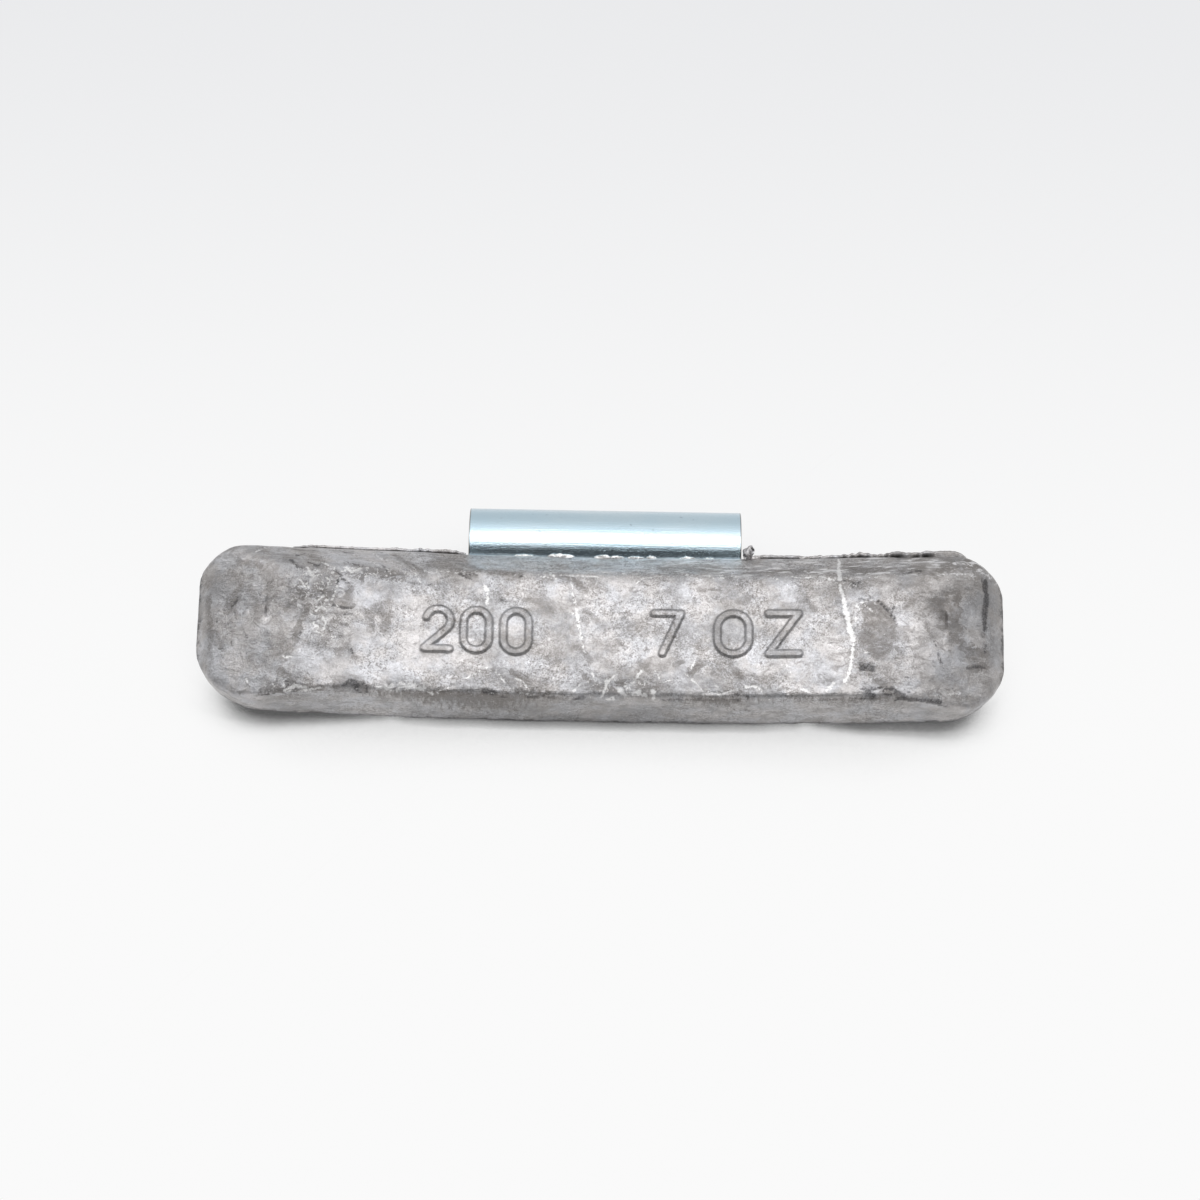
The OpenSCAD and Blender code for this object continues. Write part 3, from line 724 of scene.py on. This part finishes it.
for vert, lift, rub, rough_skin in zip(bar.verts, raised, rub_gap, crumpled):
    spot = vert.co
    swell = 0.09 * noise.noise(spot * 0.16) + 0.05 * noise.noise(spot * 0.45 + Vector((7, 3, 1)))
    swell += 0.018 * noise.noise(spot * 1.2 + Vector((2, 9, 4)))
    swell += rough_skin * 0.10 * noise.noise(spot * 0.75 + Vector((5, 1, 8)))
    swell += rough_skin * 0.16 * (0.2 - abs(noise.noise(spot * 1.1 + Vector((1, 4, 2)))))
    swell += rough_skin * 0.07 * (0.2 - abs(noise.noise(spot * 2.6 + Vector((3, 7, 5)))))
    groove = -0.06 * max(0.0, 1.0 - max(0.0, rub + 0.1) / 0.25)
    vert.co = spot + vert.normal * (CAST_SWELL + swell + FIGURE_RELIEF * lift + groove)
for name, values in (
    ("raised", raised), ("rub_gap", rub_gap), ("soot_gap", soot_gap), ("film_gap", film_gap),
    ("crease_gap", creases), ("crumpled", crumpled), ("back_gap", section_thick), ("grime", grime),
):
    layer = bar.verts.layers.float.new(name)
    for vert, value in zip(bar.verts, values):
        vert[layer] = float(value)
bar = cut_out(bar, clip_solid, "MANIFOLD")


def attribute(tree, name):
    """A value that is kept on the vertices of the bar."""
    return node(tree, "ShaderNodeAttribute", attribute_name=name).outputs["Fac"]


def lead_finish(name, marked):
    """Cast lead: satin metal where it is unsoiled, brown-grey where film and dressing lie, with painted
    highlights and painted shade.
    """
    material, tree, shader, place = bare_finish(name)
    wander = cloud(tree, place, 12.0, detail=3.0)
    mottle = cloud(tree, place, 3.0, detail=9.0, rough=0.68, bend=0.4, stretch=(1.2, 1, 1))
    streaks = cloud(tree, place, 1.3, detail=8.0, rough=0.70, bend=0.7, stretch=(1.35, 0.9, 1), shift=4.0)
    flecks = cloud(tree, place, 0.42, detail=5.0, rough=0.7, bend=0.3, shift=9.0)
    grain = cloud(tree, place, 0.19, detail=3.0, rough=0.75, shift=21.0)
    spread = node(tree, "ShaderNodeSeparateXYZ", {0: place})
    tone = plus(tree, times(tree, wander, 0.35), times(tree, mottle, 0.65))
    fresh = ramp(tree, sums(tree, "ABSOLUTE", plus(tree, spread.outputs["X"], 29.5)), 10.0, 4.0)
    fresh = times(tree, fresh, ramp(tree, spread.outputs["Y"], 0.6, 1.8))
    tone = plus(tree, tone, times(tree, fresh, 0.09))
    # Painted shade: the face is darkened towards the top of each sloping end, where the bevel turns away
    # from the lamp.
    brow = ramp(tree, sums(tree, "ABSOLUTE", spread.outputs["X"]), 37.0, 42.0, 0.0, -0.06)
    tone = plus(tree, tone, times(tree, brow, ramp(tree, spread.outputs["Y"], 9.0, 15.0)))
    colour = tinted(tree, ramp(tree, tone, 0.36, 0.62), (0.31, 0.299, 0.296, 1), (0.545, 0.535, 0.545, 1))
    warmth = ramp(tree, cloud(tree, place, 4.0, detail=6.0, rough=0.65, shift=33.0), 0.40, 0.60)
    wash = tinted(tree, warmth, (0.98, 0.998, 1.02, 1), (1.018, 0.998, 0.975, 1))
    colour = tinted(tree, 1.0, colour, wash, blend="MULTIPLY")
    fine = plus(tree, times(tree, flecks, 0.5), times(tree, grain, 0.5))
    busy = ramp(tree, cloud(tree, place, 5.0, detail=3.0, bend=0.5, shift=51.0), 0.40, 0.58, 0.40, 1.0)
    at_end = ramp(tree, sums(tree, "ABSOLUTE", spread.outputs["X"]), 37.0, 42.0)
    busy = times(tree, busy, sums(tree, "SUBTRACT", 1.0, times(tree, at_end, 0.45)))
    specks = times(tree, ramp(tree, fine, 0.455, 0.61, 0.0, 0.80), busy)
    colour = tinted(tree, specks, colour, (0.15, 0.137, 0.128, 1))
    glints = times(tree, ramp(tree, fine, 0.49, 0.36, 0.0, 0.62), busy)
    colour = tinted(tree, glints, colour, (0.70, 0.69, 0.70, 1))
    film = times(tree, ramp(tree, streaks, 0.51, 0.61), ramp(tree, wander, 0.42, 0.60))
    kept_film = sums(tree, "SUBTRACT", 1.0, times(tree, fresh, 0.75))
    film = times(tree, film, kept_film)
    patchy = ramp(tree, mottle, 0.36, 0.60, 0.55, 1.0)
    pits = ramp(tree, flecks, 0.64, 0.70)
    clean_and_highlights = ramp(tree, cloud(tree, place, 0.9, detail=6.0, rough=0.7, shift=15.0), 0.66, 0.73)
    rough = ramp(tree, mottle, 0.3, 0.7, 0.42, 0.27)
    relief = sums(tree, "SUBTRACT", streaks, 0.5)
    if marked:
        crumple = attribute(tree, "crumpled")
        frayed = sums(tree, "SUBTRACT", streaks, 0.5)
        fray_fine = sums(tree, "SUBTRACT", flecks, 0.5)
        coarse = times(tree, frayed, 3.0)
        ragged = plus(tree, coarse, times(tree, fray_fine, 1.8))
        smear = ramp(tree, plus(tree, attribute(tree, "film_gap"), ragged), 0.38, 0.04)
        smear = times(tree, smear, ramp(tree, streaks, 0.34, 0.56, 0.45, 1.0))
        folds = ramp(tree, plus(tree, streaks, times(tree, crumple, 0.08)), 0.54, 0.60)
        folds = times(tree, folds, ramp(tree, crumple, 0.30, 0.85, 0.0, 0.95))
        dents = ramp(tree, crumple, 0.30, 0.90, 0.0, 0.8)
        dents = times(tree, ramp(tree, flecks, 0.46, 0.38), dents)
        lift = attribute(tree, "raised")
        crust = times(tree, lift, ramp(tree, streaks, 0.40, 0.60, 0.05, 0.8), 0.7)
        run_down = cloud(tree, place, 0.7, detail=6.0, rough=0.7, stretch=(0.6, 3.0, 3.0), shift=40.0)
        run_down = times(tree, sums(tree, "SUBTRACT", run_down, 0.5), 2.2)
        grime = ramp(tree, plus(tree, attribute(tree, "grime"), run_down), 0.25, 0.85)
        long_streaks = cloud(
            tree, place, 0.8, detail=6.0, rough=0.68, bend=0.4, stretch=(3.5, 0.8, 0.8), shift=60.0
        )
        on_bevel = ramp(tree, spread.outputs["Y"], 17.4, 18.3)
        drawn = times(tree, ramp(tree, long_streaks, 0.51, 0.61, 0.0, 0.5), on_bevel)
        film = times(tree, film, 0.6)
        film = sums(tree, "MAXIMUM", film, smear, crust, folds, dents, grime, drawn)
        deeper = plus(tree, 1.0, times(tree, crumple, 3.0))
        relief = times(tree, relief, deeper)
    film = times(tree, film, patchy)
    colour = tinted(tree, times(tree, film, 0.78), colour, (0.145, 0.131, 0.119, 1))
    colour = tinted(tree, times(tree, pits, 0.45), colour, (0.10, 0.093, 0.09, 1))
    if marked:
        # Painted highlights: light streaks along the upper bevel, stronger towards the right.
        bright = times(tree, ramp(tree, long_streaks, 0.48, 0.38), on_bevel)
        bright = times(tree, bright, ramp(tree, spread.outputs["X"], -10.0, 18.0, 0.25, 1.0))
        colour = tinted(tree, bright, colour, (0.66, 0.65, 0.655, 1))
        ragged = times(tree, plus(tree, frayed, fray_fine), 0.9)
        dark = ramp(tree, plus(tree, attribute(tree, "soot_gap"), ragged), 0.08, -0.18)
        # Painted shade: the metal darkens to near black along the back edge, where the bar meets the table;
        # it joins the dark of the soot.
        back_edge_shade = plus(tree, attribute(tree, "back_gap"), times(tree, frayed, 4.0))
        back_edge_shade = ramp(tree, back_edge_shade, 1.4, 0.3)
        dark = times(tree, dark, ramp(tree, fine, 0.40, 0.58, 0.55, 0.80))
        dark = sums(tree, "MAXIMUM", dark, times(tree, back_edge_shade, 0.75))
        colour = tinted(tree, dark, colour, (0.045, 0.043, 0.045, 1))
        rough = plus(tree, rough, times(tree, dark, 0.2))
        # Wear and painted highlights: the creases and the ridge are lightened, partly as rubbed metal and
        # partly as painted highlights on their edges.
        worn_and_highlit_creases = plus(tree, attribute(tree, "crease_gap"), times(tree, fray_fine, -4.0))
        worn_and_highlit_creases = times(tree, ramp(tree, worn_and_highlit_creases, 0.30, -0.05), ramp(tree, streaks, 0.50, 0.58))
        # Painted highlights: bright flecks on the crumpled skin.
        crumple_highlights = ramp(tree, crumple, 0.30, 0.9, 0.0, 0.9)
        crumple_highlights = times(tree, ramp(tree, flecks, 0.545, 0.61), crumple_highlights)
        rub = plus(tree, attribute(tree, "rub_gap"), times(tree, fray_fine, 1.3))
        rub = ramp(tree, rub, 0.05, -0.14)
        rub = times(tree, rub, ramp(tree, streaks, 0.35, 0.5, 0.55, 1.0))
        clean_and_highlights = sums(tree, "MAXIMUM", clean_and_highlights, crumple_highlights, worn_and_highlit_creases, rub)
        # Painted shade on the steep sides of the raised figures.
        figure_side_shade = times(tree, lift, sums(tree, "SUBTRACT", 1.0, lift), 4.0)
        colour = tinted(tree, times(tree, figure_side_shade, 0.08), colour, (0.11, 0.103, 0.10, 1))
    # Lightens the metal in unsoiled patches and rubs, and with the painted highlights of the creases and
    # the crumpled skin.
    colour = tinted(tree, times(tree, clean_and_highlights, 0.9), colour, (0.75, 0.74, 0.735, 1))
    # On the flash, painted shade darkens the hollow lower front of each fin.
    if not marked:
        colour = tinted(tree, attribute(tree, "fin_hollow_shade"), colour, (0.03, 0.029, 0.028, 1))
    bump = bumped(tree, mottle, 0.20)
    bump = bumped(tree, relief, 0.09, bump)
    bump = bumped(tree, flecks, 0.034, bump)
    fed(tree, shader, {
        "Base Color": colour,
        "Metallic": 0.92,
        "Roughness": plus(tree, rough, times(tree, film, 0.12)),
        "Normal": bumped(tree, grain, 0.012, bump),
    })
    return material


cast_lead = lead_finish("cast_lead_skin", True)
lead = laid_down("lead_bar", bar, cast_lead, sharp=50.0)
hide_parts("lead_body")

# Flash. Where the two halves of the mould met along the top, lead crept out in a thin wavy
# fin that stands up behind the ridge and leans over it. It is part of the casting.
FIN_STEP = 0.10
FIN_FOOT, FIN_DEPTH = 21.2, 3.75


def fin_piece(name, knots, thick, material, seed, wave):
    """An upright fin along the bar, from knots of its x, its height and how hollow it stands, which also
    sets its painted shade.
    """
    fins = bmesh.new()
    knots = np.array(knots)
    x0, x1 = knots[0, 0], knots[-1, 0]
    columns = max(6, int((x1 - x0) / FIN_STEP))
    fin_hollow_shade = fins.verts.layers.float.new("fin_hollow_shade")
    bmesh.ops.create_grid(fins, x_segments=columns, y_segments=8, size=0.5)
    for vert in fins.verts:
        x, up = x0 + (x1 - x0) * (vert.co.x + 0.5), vert.co.y + 0.5
        tall, hollow = (float(np.interp(x, knots[:, 0], knots[:, column])) for column in (1, 2))
        tall *= 1 + 2 * wave * noise.noise(Vector((x * 1.9, seed, 3)))
        tall += wave * noise.noise(Vector((x * 0.8, seed, 0)))
        lean = 4 + 30 * hollow + 16 * noise.noise(Vector((x * 0.5, seed, 9)))
        reach = heading(lean, max(0.03, tall) * min(up, 0.8))
        reach += heading(lean - 60, max(0.0, tall) * max(0.0, up - 0.8))
        radius = (LEFT_CORNERS if x < 0 else RIGHT_CORNERS)[1]
        past = min(radius, max(0.0, abs(x) - BAR_LENGTH / 2 + radius))
        drop = radius - math.sqrt(radius ** 2 - past ** 2)
        vert.co = Vector((x, FIN_FOOT - drop, FIN_DEPTH - 1.1 * hollow + back_rise(x))) + reach
        # Painted shade: the lower front of the fin is darkened where it stands hollow, leaving its rim
        # light.
        vert[fin_hollow_shade] = min(1.0, 1.2 * hollow) * max(0.0, min(1.0, (0.76 - up) / 0.2))
    bmesh.ops.recalc_face_normals(fins, faces=fins.faces)
    fins = with_modifier(fins, "SOLIDIFY", thickness=thick, offset=0.0)
    smoothed(fins, [True] * len(fins.verts), 0.4)
    return laid_down(name, fins, material, sharp=70.0)


flash_lead = lead_finish("flash_lead", False)
fin_piece("flash_fin_left", [
    (-40.5, 0.35, 0.5), (-38.5, 0.90, 0.9), (-36.0, 1.02, 1.0), (-33.0, 0.98, 0.9), (-30.0, 1.05, 1.0),
    (-27.0, 1.15, 1.0), (-25.0, 1.02, 0.9), (-23.5, 1.24, 1.0), (-22.0, 1.10, 1.0), (-20.5, 1.30, 1.0),
    (-19.0, 0.98, 0.9), (-17.9, 0.60, 0.6),
], 0.14, flash_lead, 1.0, 0.07)
fin_piece("flash_fin_right", [
    (26.0, 0.60, 0.4), (28.0, 0.86, 0.6), (31.0, 0.90, 0.5), (31.7, 1.05, 0.9), (32.4, 0.95, 0.4),
    (33.0, 1.25, 1.0), (33.9, 1.45, 1.0), (34.8, 1.25, 0.9), (35.4, 0.90, 0.2), (36.2, 1.02, 0.9),
    (37.1, 1.22, 1.0), (37.7, 1.05, 0.3), (38.3, 1.45, 1.0), (38.9, 1.45, 0.9), (39.6, 1.10, 0.3),
    (40.3, 0.95, 0.3), (41.3, 1.20, 0.8), (41.8, 0.98, 0.3), (42.4, 1.48, 0.9), (43.1, 1.30, 0.6),
    (43.6, 1.10, 0.2), (44.5, 1.15, 0.2), (45.5, 1.15, 0.1), (46.6, 0.95, 0.1), (47.6, 0.40, 0.1),
], 0.18, flash_lead, 4.0, 0.08)
fin_piece("flash_lip", [
    (18.6, 0.55, 0.1), (19.6, 0.78, 0.0), (20.8, 0.76, 0.0), (21.2, 1.05, 0.5), (22.4, 1.02, 0.6),
    (23.0, 0.92, 0.5), (24.4, 0.98, 0.6), (26.0, 0.88, 0.5), (27.2, 0.55, 0.4),
], 0.14, flash_lead, 7.0, 0.05)

# Beads and burr. A little lead oozed up where the strip comes out of the bar and froze in
# bright beads along it, and one sliver curled up beside the clip.
BEAD_DEPTH = 3.86
BURR_START, BURR_STEP = 18.75, 0.22
BURR_MIDDLE, BURR_DEPTH, BURR_ROOT = 19.3, 3.35, 0.3
BURR_SEED = 4
bead_lead, tree, shader, place = plain_finish("bead_lead")
dull = node(tree, "ShaderNodeTexNoise", {"Vector": place, "Scale": 2.2 / MM, "Detail": 3.0}).outputs["Fac"]
fed(tree, shader, {
    "Base Color": tinted(tree, ramp(tree, dull, 0.5, 0.7), (0.90, 0.90, 0.89, 1), (0.45, 0.44, 0.43, 1)),
    "Metallic": 0.6,
    "Roughness": ramp(tree, dull, 0.3, 0.7, 0.20, 0.5),
    "Normal": bumped(tree, dull, 0.05),
})
beads = bmesh.new()
for x0, x1, tall in (
    (-11.6, -9.0, 0.16), (-7.2, -3.6, 0.36), (1.0, 3.0, 0.14), (-1.0, 1.2, 0.28),
    (3.4, 5.6, 0.14), (5.9, 7.2, 0.30), (10.2, 12.4, 0.20), (13.4, 15.0, 0.12),
):
    made = bmesh.ops.create_icosphere(beads, subdivisions=4, radius=1.0)["verts"]
    for vert in made:
        bulge = 1 + 0.7 * noise.noise(Vector((vert.co.x * 2.2 + x0, vert.co.y, vert.co.z)) * 1.6)
        vert.co = Vector((
            (x0 + x1) / 2 + vert.co.x * (x1 - x0) / 2,
            LAND_HEIGHT + vert.co.y * (0.08 + 0.75 * tall) * bulge,
            BEAD_DEPTH + vert.co.z * 0.24 * bulge,
        ))
laid_down("lead_beads", beads, bead_lead, sharp=80.0)
burr = bmesh.new()
noise.seed_set(BURR_SEED)
row = [
    burr.verts.new((BURR_START + BURR_STEP * k, LAND_HEIGHT - BURR_ROOT, BURR_DEPTH)) for k in range(6)
]
rim = [burr.edges.new(pair) for pair in zip(row, row[1:])]
risen = bmesh.ops.extrude_edge_only(burr, edges=rim)["geom"]
bmesh.ops.translate(burr, vec=(0, 0.95, 0), verts=[v for v in risen if isinstance(v, bmesh.types.BMVert)])
rim = [part for part in risen if isinstance(part, bmesh.types.BMEdge)]
bmesh.ops.spin(
    burr, geom=rim, cent=(BURR_MIDDLE, LAND_HEIGHT + 0.65, BURR_DEPTH + 0.85), axis=(1, 0.25, 0.1),
    angle=math.radians(250), steps=18, use_merge=False, use_duplicate=False, use_normal_flip=False,
)
bmesh.ops.subdivide_edges(burr, edges=burr.edges, cuts=1, use_grid_fill=True)
for vert in burr.verts:
    up = vert.co.y - LAND_HEIGHT + BURR_ROOT
    vert.co.x = 19.15 + (vert.co.x - BURR_MIDDLE) * (0.5 + 0.42 * up) + 0.22 * up
    vert.co += 0.42 * noise.noise_vector(vert.co * 0.9) + 0.20 * noise.noise_vector(vert.co * 2.4)
bmesh.ops.recalc_face_normals(burr, faces=burr.faces)
burr = with_modifier(burr, "SOLIDIFY", thickness=0.13, offset=0.0)
laid_down("curled_burr", burr, flash_lead, sharp=70.0)

# Table. The weight lies on a sweep of white paper, greyed a little far away with painted shade. To
# whatever sees it straight on, or in metal, the paper is a bright white glow that keeps the weight's
# shadow, painted in from how much of the sky each point has hidden.
TABLE_SIZE = 6.0
PAPER_WHITE = 0.955
SHADOW_REACH = 0.045
UNDERSIDE_REACH = 0.016
CONTACT_REACH = 0.0014
LIFT, LIFT_START = 2.75, 0.0004
LIFT_WIDTH, LIFT_LENGTH = 0.022, 0.057
paper, tree, shader, place = plain_finish("white_paper")
fed(tree, shader, {"Base Color": (0.86, 0.86, 0.86, 1), "Roughness": 0.9, "Specular IOR Level": 0.0})
spot = node(tree, "ShaderNodeSeparateXYZ", {0: place})
# Painted shade: the paper greys towards the far side, as the lamp's light falls off.
far = ramp(tree, spot.outputs["Y"], -0.02, 0.15)
white = tinted(tree, far, (PAPER_WHITE, PAPER_WHITE, PAPER_WHITE, 1), (0.81, 0.815, 0.83, 1))
# Painted shadow: under each raised end the paper is darkened further, over a reach that grows along the bar
# and stops beyond the bar's footprint.
raised_end_shadow_reach = times(tree, sums(tree, "POWER", spot.outputs["X"], 2.0), LIFT)
raised_end_shadow_reach = sums(tree, "MAXIMUM", sums(tree, "SUBTRACT", raised_end_shadow_reach, LIFT_START), 0.0)
beside = sums(tree, "LESS_THAN", sums(tree, "ABSOLUTE", spot.outputs["Y"]), LIFT_WIDTH)
below = sums(tree, "LESS_THAN", sums(tree, "ABSOLUTE", spot.outputs["X"]), LIFT_LENGTH)
raised_end_shadow_reach = times(tree, raised_end_shadow_reach, beside, below)
shade = 0.0
# Painted shadow: each term darkens the paper's glow by how much of the sky the weight hides within its
# reach.
for reach, curve, depth, samples in (
    (SHADOW_REACH, 3.6, 0.9, 6), (UNDERSIDE_REACH, 5.0, 1.2, 6), (CONTACT_REACH, 1.0, 1.0, 6),
    (raised_end_shadow_reach, 4.0, 135.0, 32),
):
    around = node(tree, "ShaderNodeAmbientOcclusion", {"Distance": reach}, samples=samples)
    open_sky = around.outputs["AO"]
    hidden = sums(tree, "POWER", sums(tree, "SUBTRACT", 1.0, open_sky), curve)
    shade = plus(tree, shade, times(tree, hidden, depth))
glow = node(tree, "ShaderNodeEmission", {
    "Color": white, "Strength": sums(tree, "MAXIMUM", sums(tree, "SUBTRACT", 1.0, shade), 0.10)
})
rays = node(tree, "ShaderNodeLightPath")
straight = sums(
    tree, "MAXIMUM", rays.outputs["Is Camera Ray"], rays.outputs["Is Glossy Ray"],
    rays.outputs["Is Transmission Ray"],
)
shown = node(tree, "ShaderNodeMixShader", {0: straight, 1: shader.outputs[0], 2: glow.outputs[0]})
fed(tree, tree.nodes["Material Output"], {"Surface": shown.outputs[0]})
sheet = bmesh.new()
bmesh.ops.create_grid(sheet, x_segments=1, y_segments=1, size=TABLE_SIZE / 2)
sheet_mesh = mesh_of(sheet, "table_top")
sheet_mesh.materials.append(paper)
table = placed("table_top", sheet_mesh)

# Light. One wide soft lamp hangs over the table in a pale room that is brightest behind the
# lamp, with a darker patch on the side that the picture is taken from.
LAMP_WIDE, LAMP_DEEP = 0.90, 0.52
LAMP_HEIGHT = 0.9
LAMP_BEHIND = -0.015
LAMP_LEVEL = 1.9
lamp_data = bpy.data.lights.new("soft_lamp", "AREA")
lamp_data.shape = "RECTANGLE"
lamp_data.size, lamp_data.size_y = LAMP_WIDE, LAMP_DEEP
lamp_data.energy = LAMP_LEVEL * math.pi * LAMP_WIDE * LAMP_DEEP
lamp = placed("soft_lamp", lamp_data)
lamp.location = (0, LAMP_BEHIND, LAMP_HEIGHT)
lamp.visible_camera = False

world = bpy.data.worlds.new("room")
bpy.context.scene.world = world
world.use_nodes = True
tree = world.node_tree
way = node(tree, "ShaderNodeTexCoord").outputs["Generated"]
faced = node(tree, "ShaderNodeSeparateXYZ", {0: way})
away, aside = faced.outputs["Y"], sums(tree, "ABSOLUTE", faced.outputs["X"])
patch = node(tree, "ShaderNodeVectorMath", {0: way, 1: (0, -0.54, 0.842)}, operation="DOT_PRODUCT")
room = times(
    tree,
    ramp(tree, away, -0.14, 0.27, 0.50, 1.60),
    ramp(tree, away, 0.22, 0.95, 1.0, 0.52),
    ramp(tree, aside, 0.35, 0.65, 1.0, 0.72),
    ramp(tree, patch.outputs["Value"], 0.86, 0.95, 1.0, 0.20),
)
path = node(tree, "ShaderNodeLightPath").outputs["Is Camera Ray"]
level = node(tree, "ShaderNodeMix", {0: path, 2: room, 3: 0.80}, data_type="FLOAT").outputs[0]
fed(tree, tree.nodes["Background"], {"Strength": level, "Color": (0.98, 0.99, 1.0, 1)})

# Camera. A long lens looks down on the face of the weight from the front.
AIM_HEIGHT = 0.008
DISTANCE = 0.450
ELEVATION = 56.304
ROLL = 0.998
ABOVE, ASIDE = 0.001117, -0.000121
LENS = 102.82
camera_data = bpy.data.cameras.new("camera")
camera_data.lens = LENS
camera_data.sensor_width = 36.0
camera = placed("camera", camera_data)
camera.matrix_world = (
    Matrix.Translation((0, 0, AIM_HEIGHT))
    @ Matrix.Rotation(math.radians(90 - ELEVATION), 4, "X")
    @ Matrix.Rotation(math.radians(ROLL), 4, "Z")
    @ Matrix.Translation((ASIDE, ABOVE, DISTANCE))
)
bpy.context.scene.camera = camera
bpy.context.scene.view_settings.view_transform = "Standard"
